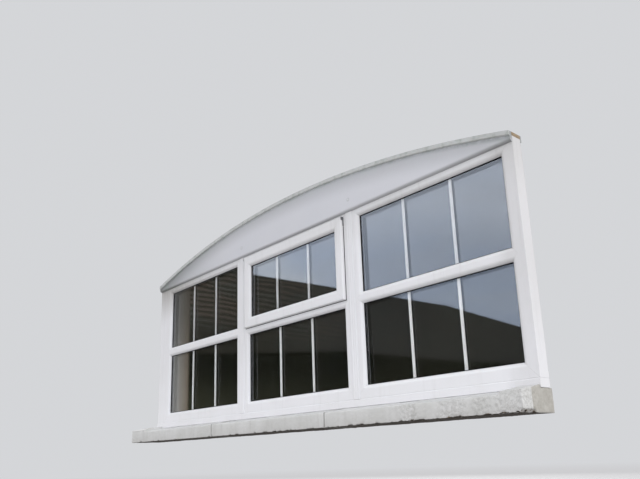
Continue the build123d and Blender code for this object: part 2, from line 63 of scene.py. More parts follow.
class Wire:
    # a node's output that can be used in sums
    def __init__(self, shade, socket):
        self.shade = shade
        self.socket = socket

    def __add__(self, other):
        return self.shade.sum("ADD", self, other)

    __radd__ = __add__

    def __sub__(self, other):
        return self.shade.sum("SUBTRACT", self, other)

    def __rsub__(self, other):
        return self.shade.sum("SUBTRACT", other, self)

    def __mul__(self, other):
        return self.shade.sum("MULTIPLY", self, other)

    __rmul__ = __mul__

    def __truediv__(self, other):
        return self.shade.sum("DIVIDE", self, other)

    def __rtruediv__(self, other):
        return self.shade.sum("DIVIDE", other, self)

    def __neg__(self):
        return self * -1.0

    def size(self):
        return self.shade.sum("ABSOLUTE", self)

    def lower(self, other):
        return self.shade.sum("MINIMUM", self, other)

    def higher(self, other):
        return self.shade.sum("MAXIMUM", self, other)

    def rise(self, low, high):
        # 0 below low, 1 above high, smooth between
        return self.shade.wire("MapRange", {"interpolation_type": "SMOOTHSTEP"},
                               {"Value": self, "From Min": low, "From Max": high})

    def fall(self, low, high):
        return 1 - self.rise(low, high)

    def past(self, place, soft):
        # 0 before the place, 1 past it
        return self.rise(place - soft, place + soft)

    def swing(self, reach):
        # a cloud's swing about its middle
        return (self - 0.5) * reach


class Shade:
    # one node tree and the expressions written in it
    def __init__(self, name, owner=None):
        self.owner = owner or bpy.data.materials.new(name)
        self.owner.use_nodes = True
        self.tree = self.owner.node_tree
        self.tree.nodes.clear()

    def node(self, kind, settings=None, inputs=None):
        made = self.tree.nodes.new("ShaderNode" + kind)
        for key, value in (settings or {}).items():
            setattr(made, key, value)
        for key, value in (inputs or {}).items():
            if isinstance(value, Wire):
                self.tree.links.new(value.socket, made.inputs[key])
            elif made.inputs[key].type == "RGBA":
                made.inputs[key].default_value = (*value, 1.0)
            else:
                made.inputs[key].default_value = value
        return made

    def wire(self, kind, settings=None, inputs=None, output=0):
        return Wire(self, self.node(kind, settings, inputs).outputs[output])

    def sum(self, operation, first, second=0.0):
        return self.wire("Math", {"operation": operation}, {0: first, 1: second})

    def place(self):
        return self.wire("TexCoord", output="Object")

    def axes(self, vector=None):
        split = self.node("SeparateXYZ", None, {0: vector or self.place()})
        return [Wire(self, output) for output in split.outputs]

    def facing(self):
        # the three parts of the direction in which the surface faces
        return self.axes(self.wire("NewGeometry", output="Normal"))

    def apart(self, across, up):
        # the length of two offsets at right angles
        return self.sum("SQRT", across * across + up * up)

    def stretched(self, scales, vector=None):
        return self.wire("VectorMath", {"operation": "MULTIPLY"}, {0: vector or self.place(), 1: scales})

    def cloud(self, scale, detail, roughness=0.55, vector=None):
        return self.wire("TexNoise", None, {"Vector": vector or self.place(), "Scale": scale,
                                            "Detail": detail, "Roughness": roughness})

    def blend(self, factor, first, second):
        return self.wire("Mix", {"data_type": "RGBA"}, {0: factor, 6: first, 7: second}, output=2)

    def bump(self, height, distance, strength, normal=None):
        inputs = {"Height": height, "Distance": distance, "Strength": strength}
        if normal:
            inputs["Normal"] = normal
        return self.wire("Bump", None, inputs)

    def rounded(self, radius):
        # normals that round the piece's edges over a radius
        return self.wire("Bevel", {"samples": 6}, {"Radius": radius})

    def finish(self, shader):
        self.node("OutputMaterial", None, {"Surface": shader})
        return self.owner

    def surface(self, inputs):
        return self.finish(self.wire("BsdfPrincipled", None, inputs))


# in every material's settings a cloud is (scale, detail, roughness), a bump is (depth, strength),
# and most other pairs are the limits (from, to) of a rise or a fall
plasticSettings = {
    "colour": (0.80, 0.80, 0.825), "warm": (0.77, 0.77, 0.785), "warmPatches": (0.35, 0.7),
    "dirtAndShade": (0.30, 0.285, 0.26), "mostDirtAndShade": 0.85, "broad": (2.3, 3.0),
    "streakCloud": (1.0, 5.0, 0.6), "streakStretch": (34.0, 34.0, 1.6), "streakEdge": (0.52, 0.8),
    "streaks": 0.10, "steady": 0.6, "varied": 0.8,
    "speckCloud": (240.0, 2.0), "speckEdge": (0.66, 0.72), "specks": 0.10,
    "ledges": (0.5, 0.95), "dust": 0.16, "dustPatches": (0.2, 0.8), "soffitShade": 0.08,
    "shadeUnderBoardHeight": (0.95, 1.24), "shadeUnderBoard": 0.13, "upperShadeHeight": (0.18, 0.72), "upperShade": 0.15,
    "revealReach": (1.56, 1.68), "reveal": 0.20, "cornerReach": (-1.62, -0.50),
    "cornerHeight": (0.89, 1.26), "cornerFacing": (-0.3, 0.2), "corner": 0.58, "seamDirt": 0.45,
    "grain": (160.0, 2.0, 0.5), "grainHeight": 0.25, "bump": (0.0004, 0.35), "edgeRadius": 0.0026,
    "roughness": 0.3, "roughPatches": (0.3, 0.8), "patchRoughness": 0.1,
    "roughDirtAndShade": 0.6, "dirtAndShadeRoughness": 0.5, "ior": 1.48,
}


def plastic(name, settings, seamMask=None):
    # white extruded plastic: rain streaks, dust on its ledges, weld lines, and painted shade towards the top,
    # under the board and on down-facing faces
    shade = Shade(name)
    x, y, z = shade.axes()
    facing = shade.facing()
    street, up = -facing[1], facing[2]
    broad = shade.cloud(*settings["broad"])
    streaks = shade.cloud(*settings["streakCloud"], shade.stretched(settings["streakStretch"]))
    specks = shade.cloud(*settings["speckCloud"])
    uneven = settings["steady"] + streaks * settings["varied"]
    dirtAndShade = streaks.rise(*settings["streakEdge"]) * settings["streaks"]
    dirtAndShade = dirtAndShade + specks.rise(*settings["speckEdge"]) * settings["specks"]
    dirtAndShade = dirtAndShade + up.rise(*settings["ledges"]) * settings["dust"] * broad.rise(*settings["dustPatches"])
    # painted shade: down-facing faces darker
    dirtAndShade = dirtAndShade + (-up).rise(*settings["ledges"]) * settings["soffitShade"]
    # painted shade: darker under the board, and over the upper part of the window
    dirtAndShade = dirtAndShade + z.rise(*settings["shadeUnderBoardHeight"]) * uneven * settings["shadeUnderBoard"]
    dirtAndShade = dirtAndShade + z.rise(*settings["upperShadeHeight"]) * settings["upperShade"]
    # painted shade beside the right jamb's reveal
    dirtAndShade = dirtAndShade + x.rise(*settings["revealReach"]) * settings["reveal"]
    # darker towards the top-left corner, on faces that look out
    corner = x.fall(*settings["cornerReach"]) * z.rise(*settings["cornerHeight"])
    corner = corner * street.rise(*settings["cornerFacing"])
    dirtAndShade = dirtAndShade + corner * uneven * settings["corner"]
    height = shade.cloud(*settings["grain"]) * settings["grainHeight"]
    if seamMask:
        seam = seamMask(x, z)
        dirtAndShade = dirtAndShade + seam * settings["seamDirt"]
        height = height - seam
    colour = shade.blend(broad.rise(*settings["warmPatches"]), settings["colour"], settings["warm"])
    # the mask mixes real dirt and dust with the painted shade above
    colour = shade.blend(dirtAndShade.lower(settings["mostDirtAndShade"]), colour, settings["dirtAndShade"])
    rough = settings["roughness"] + broad.rise(*settings["roughPatches"]) * settings["patchRoughness"]
    rough = rough + dirtAndShade.lower(settings["roughDirtAndShade"]) * settings["dirtAndShadeRoughness"]
    normal = shade.bump(height, *settings["bump"], shade.rounded(settings["edgeRadius"]))
    return shade.surface({"Base Color": colour, "Roughness": rough, "Normal": normal,
                          "IOR": settings["ior"]})


weldSettings = {
    "frameSight": 0.0705, "transomHalf": 0.0325, "sashSight": 0.069,
    "line": (0.0002, 0.0007), "fade": 0.0005,
}


def weldSeams(node, settings, sight, transomHalf=None):
    # mitred welds at the four corners, and the notches of a transom welded into the jambs
    low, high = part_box(node)
    middleX, middleZ = (low.x + high.x) / 2, (low.z + high.z) / 2

    def mask(x, z):
        fromMiddle = (z - middleZ).size()
        fromSide = (high.x - low.x) / 2 - (x - middleX).size()
        fromEnd = (high.z - low.z) / 2 - fromMiddle
        seam = (fromSide - fromEnd).size().fall(*settings["line"])
        seam = seam * fromSide.lower(fromEnd).fall(sight, sight + settings["fade"])
        if transomHalf:
            notch = ((sight - fromSide) - (transomHalf - fromMiddle)).size().fall(*settings["line"])
            notch = notch * fromMiddle.fall(transomHalf, transomHalf + settings["fade"])
            seam = seam.higher(notch * fromSide.fall(sight, sight + settings["fade"]))
        return seam
    return mask


boardSettings = {
    # the board's white is set greyer than the frames' as painted shade under the arch
    "colour": (0.565, 0.565, 0.59), "cool": (0.54, 0.545, 0.575), "coolPatches": (0.3, 0.75),
    "dirtAndShade": (0.13, 0.13, 0.125), "moss": (0.12, 0.15, 0.12), "mossPatches": (0.4, 0.7), "mostDirtAndShade": 0.9,
    "broad": (1.7, 4.0), "fine": (90.0, 3.0), "blots": (26.0, 5.0, 0.65),
    "rise": 0.2236, "wander": 0.04, "ripple": 0.012,
    "lineReach": (0.026, 0.050), "line": 0.42, "lineBlots": (0.35, 0.65), "steady": 0.35, "varied": 0.65,
    "archShadeReach": (0.026, 0.15), "archShade": 0.36, "endReach": (0.0, 1.15), "ends": 0.42,
    "capRise": 0.068, "capAside": 0.02, "capReach": (0.006, 0.014), "capGrime": 0.35,
    "speckEdge": (0.62, 0.72), "specks": 0.04, "underFacing": (0.2, 0.95), "under": 0.36,
    "grain": (300.0, 2.0), "grainHeight": 0.4, "bump": (0.0006, 0.3),
    "roughness": 0.42, "fineRoughness": 0.15,
}


def boardCaps(settings):
    # one screw cap above each joint between the frames
    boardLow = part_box("arch_board")[0]
    return [Vector((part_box(name)[1].x + settings["capAside"], boardLow.y, boardLow.z + settings["capRise"]))
            for name in frameNames[:-1]]


def paintedBoard(name, settings):
    # flat white cladding board: painted shade under the arch, at its left end and on its nose, dirt round the
    # caps and blots along the trim
    shade = Shade(name)
    x, y, z = shade.axes()
    low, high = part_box("arch_board")
    span, rise = high.x - low.x, settings["rise"]
    radius = (span * span / 4 + rise * rise) / (2 * rise)
    underArch = radius - shade.apart(x - (low.x + high.x) / 2, z - (high.z - radius))
    broad, fine, blots = (shade.cloud(*settings[word]) for word in ("broad", "fine", "blots"))
    drop = underArch + broad.swing(settings["wander"]) + blots.swing(settings["ripple"])
    uneven = settings["steady"] + blots.rise(*settings["lineBlots"]) * settings["varied"]
    # along the trim: dark blots of dirt, with painted shade in the dip under the trim
    dirtAndShade = drop.fall(*settings["lineReach"]) * uneven * settings["line"]
    # painted shade under the arch
    dirtAndShade = dirtAndShade + drop.fall(*settings["archShadeReach"]) * settings["archShade"]
    # painted shade towards the left end
    dirtAndShade = dirtAndShade + (x - low.x).fall(*settings["endReach"]) * settings["ends"]
    for cap in boardCaps(settings):
        nearCap = shade.apart(x - cap.x, z - cap.z).fall(*settings["capReach"])
        dirtAndShade = dirtAndShade + nearCap * settings["capGrime"]
    dirtAndShade = dirtAndShade + fine.rise(*settings["speckEdge"]) * settings["specks"]
    # painted shade on the down-facing nose
    dirtAndShade = dirtAndShade + (-shade.facing()[2]).rise(*settings["underFacing"]) * settings["under"]
    moss = shade.blend(blots.rise(*settings["mossPatches"]), settings["dirtAndShade"], settings["moss"])
    colour = shade.blend(broad.rise(*settings["coolPatches"]), settings["colour"], settings["cool"])
    colour = shade.blend(dirtAndShade.lower(settings["mostDirtAndShade"]), colour, moss)
    rough = settings["roughness"] + fine * settings["fineRoughness"]
    height = shade.cloud(*settings["grain"]) * settings["grainHeight"] + broad
    return shade.surface({"Base Color": colour, "Roughness": rough,
                          "Normal": shade.bump(height, *settings["bump"])})


trimSettings = {
    # the trim's white is set grey as painted shade under the arch
    "trim": (0.47, 0.48, 0.47), "moss": (0.20, 0.24, 0.20), "trimDirt": (0.30, 0.30, 0.28),
    "blots": (30.0, 5.0, 0.65), "mossPatches": (0.45, 0.75), "mossShare": 0.55,
    "broad": (2.2, 3.0), "dirtPatches": (0.4, 0.7), "dirtShare": 0.3,
    "bump": (0.0008, 0.3), "roughness": 0.5, "blotRoughness": 0.2,
}


def paintedTrim(name, settings):
    # curved edge strip, with green-grey blots
    shade = Shade(name)
    blots = shade.cloud(*settings["blots"])
    broad = shade.cloud(*settings["broad"])
    mossy = blots.rise(*settings["mossPatches"]) * settings["mossShare"]
    dirty = broad.rise(*settings["dirtPatches"]) * settings["dirtShare"]
    colour = shade.blend(mossy, settings["trim"], settings["moss"])
    colour = shade.blend(dirty, colour, settings["trimDirt"])
    rough = settings["roughness"] + blots * settings["blotRoughness"]
    return shade.surface({"Base Color": colour, "Roughness": rough,
                          "Normal": shade.bump(blots, *settings["bump"])})


sealRubber = {
    "colour": (0.016, 0.016, 0.017), "shine": 0.2, "roughness": 0.6, "dustRoughness": 0.2,
    "dust": (0.06, 0.06, 0.055), "dustCloud": (60.0, 4.0), "dustPatches": (0.5, 0.8), "dusty": 0.2,
    "grain": (500.0, 2.0), "bump": (0.0002, 0.4),
}
gasketRubber = dict(sealRubber, colour=(0.005, 0.005, 0.006), dusty=0.06, shine=0.03)


def rubber(name, settings):
    # matt rubber with a little dust
    shade = Shade(name)
    dust = shade.cloud(*settings["dustCloud"]).rise(*settings["dustPatches"])
    colour = shade.blend(dust * settings["dusty"], settings["colour"], settings["dust"])
    rough = settings["roughness"] + dust * settings["dustRoughness"]
    normal = shade.bump(shade.cloud(*settings["grain"]), *settings["bump"])
    return shade.surface({"Base Color": colour, "Roughness": rough, "Normal": normal,
                          "Specular IOR Level": settings["shine"]})


coat = {
    "peel": (420.0, 2.0), "bump": (0.0003, 0.3), "patches": (14.0, 4.0), "patchEdge": (0.4, 0.75),
    "patchShare": 0.4, "darker": 0.86, "patchRoughness": 0.1, "shine": 0.5,
}
barCoat = dict(coat, roughness=0.6, shine=0.1)


def paintedMetal(name, settings):
    # powder coat with a faint orange peel
    shade = Shade(name)
    peel = shade.cloud(*settings["peel"])
    patch = shade.cloud(*settings["patches"])
    darker = tuple(part * settings["darker"] for part in settings["colour"])
    dull = patch.rise(*settings["patchEdge"]) * settings["patchShare"]
    return shade.surface({"Base Color": shade.blend(dull, settings["colour"], darker),
                          "Roughness": settings["roughness"] + patch * settings["patchRoughness"],
                          "Normal": shade.bump(peel, *settings["bump"]),
                          "Specular IOR Level": settings["shine"]})


plating = {
    "lineCloud": (1.0, 3.0, 0.6), "line": (0.75, 0.75, 0.73), "lineShare": 0.3,
    "patches": (70.0, 4.0), "patchEdge": (0.42, 0.7), "dull": (0.36, 0.35, 0.33), "dullShare": 0.6,
    "bump": (0.0002, 0.35), "metallic": 0.9, "roughness": 0.3, "patchRoughness": 0.2,
}


def zinc(name, settings):
    # plated steel with drawn lines along its length and dull patches
    shade = Shade(name)
    lines = shade.cloud(*settings["lineCloud"], shade.stretched(settings["grain"]))
    patch = shade.cloud(*settings["patches"]).rise(*settings["patchEdge"])
    tone = shade.blend(patch * settings["dullShare"], settings["colour"], settings["dull"])
    tone = shade.blend(lines * settings["lineShare"], tone, settings["line"])
    rough = settings["roughness"] + patch * settings["patchRoughness"]
    return shade.surface({"Base Color": tone, "Metallic": settings["metallic"], "Roughness": rough,
                          "Normal": shade.bump(lines, *settings["bump"])})


spacerSettings = {
    "bar": (0.014, 0.014, 0.015), "dull": (0.024, 0.024, 0.025), "patches": (60.0, 3.0),
    "dullPatches": (0.4, 0.7), "hole": (0.004, 0.004, 0.004), "holePitch": 0.006,
    "holeEdge": (0.0005, 0.0008), "depth": 0.020, "glintLine": (0.42, 0.42, 0.43), "glintFrom": 0.0180,
    "glintTo": 0.0206, "glintSoft": 0.0003, "roughness": 0.6, "glintPolish": 0.2, "shine": 0.25,
}


def spacerBar(name, pane, settings):
    # black warm-edge bar with a row of breathing holes, and a thin pale polished line beside the inner pane
    # as a painted reflection
    shade = Shade(name)
    x, y, z = shade.axes()
    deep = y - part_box(pane)[1].y
    glintLine = deep.past(settings["glintFrom"], settings["glintSoft"])
    glintLine = glintLine * (1 - deep.past(settings["glintTo"], settings["glintSoft"]))
    along = shade.sum("PINGPONG", x + z, settings["holePitch"] / 2)
    holes = shade.apart(along, deep - settings["depth"] / 2).fall(*settings["holeEdge"])
    dull = shade.cloud(*settings["patches"]).rise(*settings["dullPatches"])
    tone = shade.blend(dull, settings["bar"], settings["dull"])
    tone = shade.blend(holes, tone, settings["hole"])
    tone = shade.blend(glintLine, tone, settings["glintLine"])
    return shade.surface({"Base Color": tone, "Specular IOR Level": settings["shine"],
                          "Roughness": settings["roughness"] - glintLine * settings["glintPolish"]})


timberSettings = {
    "pale": (0.34, 0.26, 0.17), "dark": (0.24, 0.17, 0.10), "grainCloud": (1.0, 6.0, 0.65),
    "grainStretch": (3.0, 60.0, 60.0), "grainEdge": (0.3, 0.75), "ring": (0.16, 0.11, 0.065),
    "ringStretch": (0.6, 22.0, 22.0), "ringWander": 7.0, "ringDetail": 3.0, "ringShare": 0.45,
    "bump": (0.001, 0.5), "roughness": 0.7, "grainRoughness": 0.15,
}


def timber(name, settings):
    # sawn softwood with its grain along the window
    shade = Shade(name)
    grain = shade.cloud(*settings["grainCloud"], shade.stretched(settings["grainStretch"]))
    rings = shade.wire("TexWave", {"bands_direction": "Z"},
                       {"Vector": shade.stretched(settings["ringStretch"]), "Scale": 1.0,
                        "Distortion": settings["ringWander"], "Detail": settings["ringDetail"]})
    tone = shade.blend(grain.rise(*settings["grainEdge"]), settings["pale"], settings["dark"])
    tone = shade.blend(rings * settings["ringShare"], tone, settings["ring"])
    rough = settings["roughness"] + grain * settings["grainRoughness"]
    return shade.surface({"Base Color": tone, "Roughness": rough,
                          "Normal": shade.bump(grain, *settings["bump"])})


clearSettings = {
    "tint": (0.98, 0.985, 0.98), "film": (5.0, 4.0), "filmEdge": (0.45, 0.8), "filmRoughness": 0.012,
    "ior": 1.5, "shadow": (0.97, 0.975, 0.97),
}


def clearGlass(name, settings):
    # float glass that lets the lamps through
    shade = Shade(name)
    film = shade.cloud(*settings["film"]).rise(*settings["filmEdge"])
    glass = shade.wire("BsdfPrincipled", None, {
        "Base Color": settings["tint"], "Roughness": film * settings["filmRoughness"],
        "IOR": settings["ior"], "Transmission Weight": 1.0})
    through = shade.wire("BsdfTransparent", None, {"Color": settings["shadow"]})
    shadow = shade.wire("LightPath", output="Is Shadow Ray")
    return shade.finish(shade.wire("MixShader", None, {0: shadow, 1: glass, 2: through}))


darkSettings = {
    "dark": (0.0055, 0.006, 0.0055), "light": (0.010, 0.010, 0.0075), "murk": (1.3, 3.0),
    "murkEdge": (0.3, 0.7), "smear": (7.0, 4.0), "smearEdge": (0.5, 0.8),
    "roughness": 0.012, "smearRoughness": 0.01, "ior": 1.5, "coated": 0.9, "alpha": 0.99,
}


def darkGlass(name, settings):
    # inner pane, dark and nearly opaque: painted shade for the unlit room behind it
    shade = Shade(name)
    murk = shade.cloud(*settings["murk"]).rise(*settings["murkEdge"])
    smear = shade.cloud(*settings["smear"]).rise(*settings["smearEdge"])
    return shade.surface({
        "Base Color": shade.blend(murk, settings["dark"], settings["light"]),
        "Roughness": settings["roughness"] + smear * settings["smearRoughness"],
        "IOR": settings["ior"], "Specular IOR Level": settings["coated"], "Alpha": settings["alpha"]})


wearNames = ("bare", "flaky", "sootAndShade", "raw")    # attributes that the sill's slabs carry
sillPaint = {
    "paint": (0.62, 0.62, 0.61), "old": (0.57, 0.57, 0.555), "oldPatches": (0.35, 0.65),
    "broad": (7.0, 4.0), "grit": (160.0, 4.0, 0.65), "flakes": (70.0, 5.0, 0.7), "veins": (38.0, 6.0, 0.75),
    "crack": (0.30, 0.29, 0.27), "crackWidth": 0.035, "cracks": 0.5,
    "dirtAndShade": (0.15, 0.125, 0.10), "mostDirtAndShade": 0.9, "stainCloud": (1.0, 5.0, 0.6),
    "stainStretch": (22.0, 22.0, 2.5), "stainEdge": (0.5, 0.8), "stain": 0.13,
    "lowDownTop": (0.005, 0.072), "lowDownFoot": (0.0, 0.006), "lowDown": 0.13,
    "speckEdge": (0.62, 0.75), "specks": 0.25, "lostSpread": 1.1, "lostEdge": (0.46, 0.54),
    "stone": (0.34, 0.27, 0.20), "stoneDark": (0.16, 0.12, 0.085), "stonePatches": (0.35, 0.65),
    "sootAndShade": (0.010, 0.0095, 0.009), "mostSootAndShade": 0.85,
    "raw": (0.43, 0.415, 0.38), "rawDark": (0.35, 0.335, 0.30), "rawPatches": (0.35, 0.65),
    "rawSpread": 0.5, "rawEdge": (0.45, 0.55), "gritHeight": 0.35, "flakeHeight": 0.3, "lostDepth": 0.8,
    "bump": (0.0022, 0.6), "roughness": 0.65, "lostRoughness": 0.25, "shine": 0.25,
}
jointPaint = dict(sillPaint, paint=(0.36, 0.36, 0.35), old=(0.27, 0.27, 0.25))


def masonry(name, settings):
    # painted stone: the attributes say where paint is lost, flaky, sooty and painted dark as shade, or was
    # never there
    shade = Shade(name)
    bare, flaky, sootAndShade, raw = (shade.wire("Attribute", {"attribute_name": word}, output="Fac")
                              for word in wearNames)
    broad, grit, flakes, veins = (shade.cloud(*settings[word])
                                  for word in ("broad", "grit", "flakes", "veins"))
    tone = shade.blend(broad.rise(*settings["oldPatches"]), settings["paint"], settings["old"])
    cracks = (veins - 0.5).size().fall(0.0, settings["crackWidth"]) * flaky * settings["cracks"]
    tone = shade.blend(cracks, tone, settings["crack"])
    stain = shade.cloud(*settings["stainCloud"], shade.stretched(settings["stainStretch"]))
    z = shade.axes()[2]
    lowDown = z.fall(*settings["lowDownTop"]) * z.rise(*settings["lowDownFoot"])
    dirtAndShade = stain.rise(*settings["stainEdge"]) * settings["stain"] + lowDown * settings["lowDown"] + sootAndShade
    dirtAndShade = dirtAndShade + grit.rise(*settings["speckEdge"]) * settings["specks"]
    tone = shade.blend(dirtAndShade.lower(settings["mostDirtAndShade"]), tone, settings["dirtAndShade"])
    lost = (bare + flakes.swing(settings["lostSpread"])).rise(*settings["lostEdge"])
    stone = shade.blend(grit.rise(*settings["stonePatches"]), settings["stone"], settings["stoneDark"])
    stone = shade.blend(sootAndShade.lower(settings["mostSootAndShade"]), stone, settings["sootAndShade"])
    tone = shade.blend(lost, tone, stone)
    unpainted = shade.blend(veins.rise(*settings["rawPatches"]), settings["raw"], settings["rawDark"])
    rawHere = (raw + flakes.swing(settings["rawSpread"])).rise(*settings["rawEdge"])
    tone = shade.blend(rawHere, tone, unpainted)
    height = grit * settings["gritHeight"] + flakes * (settings["flakeHeight"] + flaky)
    height = height + veins * flaky - lost * settings["lostDepth"]
    rough = settings["roughness"] + lost * settings["lostRoughness"]
    return shade.surface({"Base Color": tone, "Roughness": rough,
                          "Normal": shade.bump(height, *settings["bump"]),
                          "Specular IOR Level": settings["shine"]})


materials = {
    "trim": plastic("Trim white", plasticSettings),
    "board": paintedBoard("Board white", boardSettings),
    "archTrim": paintedTrim("Arch trim white", trimSettings),
    "gasket": rubber("Gasket rubber", gasketRubber),
    "seal": rubber("Seal rubber", sealRubber),
    "bar": paintedMetal("Glazing bar white", dict(barCoat, colour=(0.93, 0.885, 0.83))),
    # the upper bars are set darker than the lower ones as painted shade under the arch
    "shadedBar": paintedMetal("Upper glazing bar with painted shade", dict(barCoat, colour=(0.70, 0.67, 0.64))),
    # the bracket is dark as painted shade: it stands for the dark gap beside the sash
    "shadeBracket": paintedMetal("Bracket dark grey for painted shade", dict(coat, colour=(0.10, 0.10, 0.105), roughness=0.5)),
    "handle": paintedMetal("Handle white", dict(coat, colour=(0.78, 0.78, 0.79), roughness=0.22)),
    "spacer": spacerBar("Spacer black", "left_upper_outer_pane", spacerSettings),
    "sashSpacer": spacerBar("Sash spacer black", "sash_outer_pane", spacerSettings),
    "steel": zinc("Zinc plated steel",
                  dict(plating, colour=(0.55, 0.55, 0.535), grain=(30.0, 400.0, 400.0))),
    "couplingSteel": zinc("Galvanised steel",
                          dict(plating, colour=(0.50, 0.51, 0.52), grain=(200.0, 200.0, 6.0))),
    "packer": paintedMetal("Packer blue", dict(coat, colour=(0.03, 0.10, 0.32), roughness=0.5)),
    "timber": timber("Sawn timber", timberSettings),
    "clear": clearGlass("Float glass", clearSettings),
    "dark": darkGlass("Glass with a dark room", darkSettings),
    "sill": masonry("Painted sill", sillPaint),
    "mortar": masonry("Sill mortar", jointPaint),
}
for name in frameNames:
    seams = weldSeams(name, weldSettings, weldSettings["frameSight"], weldSettings["transomHalf"])
    materials[name] = plastic("Frame white " + name.split("_")[0], plasticSettings, seams)
seams = weldSeams("sash_frame", weldSettings, weldSettings["sashSight"])
materials["sash_frame"] = plastic("Sash white", plasticSettings, seams)
print("materials:", len(materials))


def dress(node, key):
    # gives a carried-over piece its finish
    mesh = nodes[node].data
    mesh.materials.clear()
    mesh.materials.append(materials[key])


finishes = {
    "trim": ("stub_cill", "extension_profile", "outer_coupling_covers", "inner_coupling_covers",
             "sash_beads", "left_frame_beads", "centre_frame_beads", "right_frame_beads"),
    "board": ("arch_board", "inner_arch_board"),
    "archTrim": ("arch_trim",),
    "gasket": ("frame_gaskets", "sash_gaskets"),
    "seal": ("sash_seal",),
    "packer": ("glazing_packers", "sash_packers"),
    "timber": ("arch_core",),
    "couplingSteel": ("coupling_bars",),
    "shadeBracket": ("pivot_brackets",),
    "handle": ("handle", "handle_rose"),
    "steel": ("stay_plates", "stay_tracks", "left_stay_arm", "right_stay_arm", "lock_rod",
              "lock_faceplate", "lock_keeps"),
    "mortar": ("sill_joints",),
}
for key, names in finishes.items():
    for name in names:
        dress(name, key)
for name in frameNames + ("sash_frame",):
    dress(name, name)
for name in lightNames:
    dress(name + "_outer_pane", "clear")
    dress(name + "_inner_pane", "dark")
    dress(name + "_spacer", "sashSpacer" if name == "sash" else "spacer")
    dress(name + "_bars", "bar" if name.endswith("lower") else "shadedBar")
print("finishes on the measured pieces")


def placed(name, data):
    # a new object in the scene
    made = bpy.data.objects.new(name, data)
    bpy.context.scene.collection.objects.link(made)
    return made


def meshOf(name, shape):
    # a mesh from a finished bmesh
    mesh = bpy.data.meshes.new(name)
    shape.to_mesh(mesh)
    shape.free()
    return mesh


def settled(piece):
    # what the piece's modifiers make becomes its plain mesh
    made = bpy.data.meshes.new_from_object(piece.evaluated_get(bpy.context.evaluated_depsgraph_get()))
    piece.modifiers.clear()
    piece.data = made
    return made


# lumps are (scale, fade, layers) of the broad, rough and chipped noise; levels are where it starts to cut
sillSettings = {
    "merge": 0.00001, "voxel": 0.004, "shift": (41.0, 3.1, 7.7),
    "lumps": ((9.0, 1.0, 3), (55.0, 0.8, 4), (24.0, 0.9, 4)), "spread": 2.0,
    "wave": 0.0016, "waveLevel": 0.55, "grain": 0.0006, "grainLevel": 0.6,
    "front": 0.004, "frontSoft": 0.02, "frontHeight": 0.079, "foot": 0.002, "chipReach": 0.013,
    "edgeChip": 0.004, "chipLevel": 0.05, "chipGain": 3.0,
    "arrisBelow": 0.004, "arrisTop": 0.11, "arrisSoft": 0.006, "arrisFacing": -0.2,
    "arrisWear": 0.0025, "arrisLevel": 0.3,
    "flakyPatches": ((1.11, 1.19), (1.34, 1.46), (1.52, 1.58), (1.63, 1.75)), "patchSoft": 0.03,
    "patchBack": 0.09, "patchDepth": 0.0035, "patchLevel": 0.25, "onEnd": 1.1, "onFront": 0.7,
    "end": 0.008, "endSoft": 0.02,
    "wallFace": -0.039, "rawFade": 0.01, "rawEnd": 0.012, "backFacing": 0.5, "underFacing": -0.6,
    "brokenSlope": 0.4, "slopeSoft": 0.1, "brokenClean": 0.6, "sootAndShade": 0.9,
    "chipBare": 0.3, "chipPatchBare": 0.4, "footBare": 0.36, "patchBare": 0.12, "footFlaky": 0.3,
}


def within(value, low, high, soft):
    # 1 between the two limits, falling to 0 over the soft distance outside them
    return max(0.0, min(1.0, (value - low) / soft + 1, (high - value) / soft + 1))


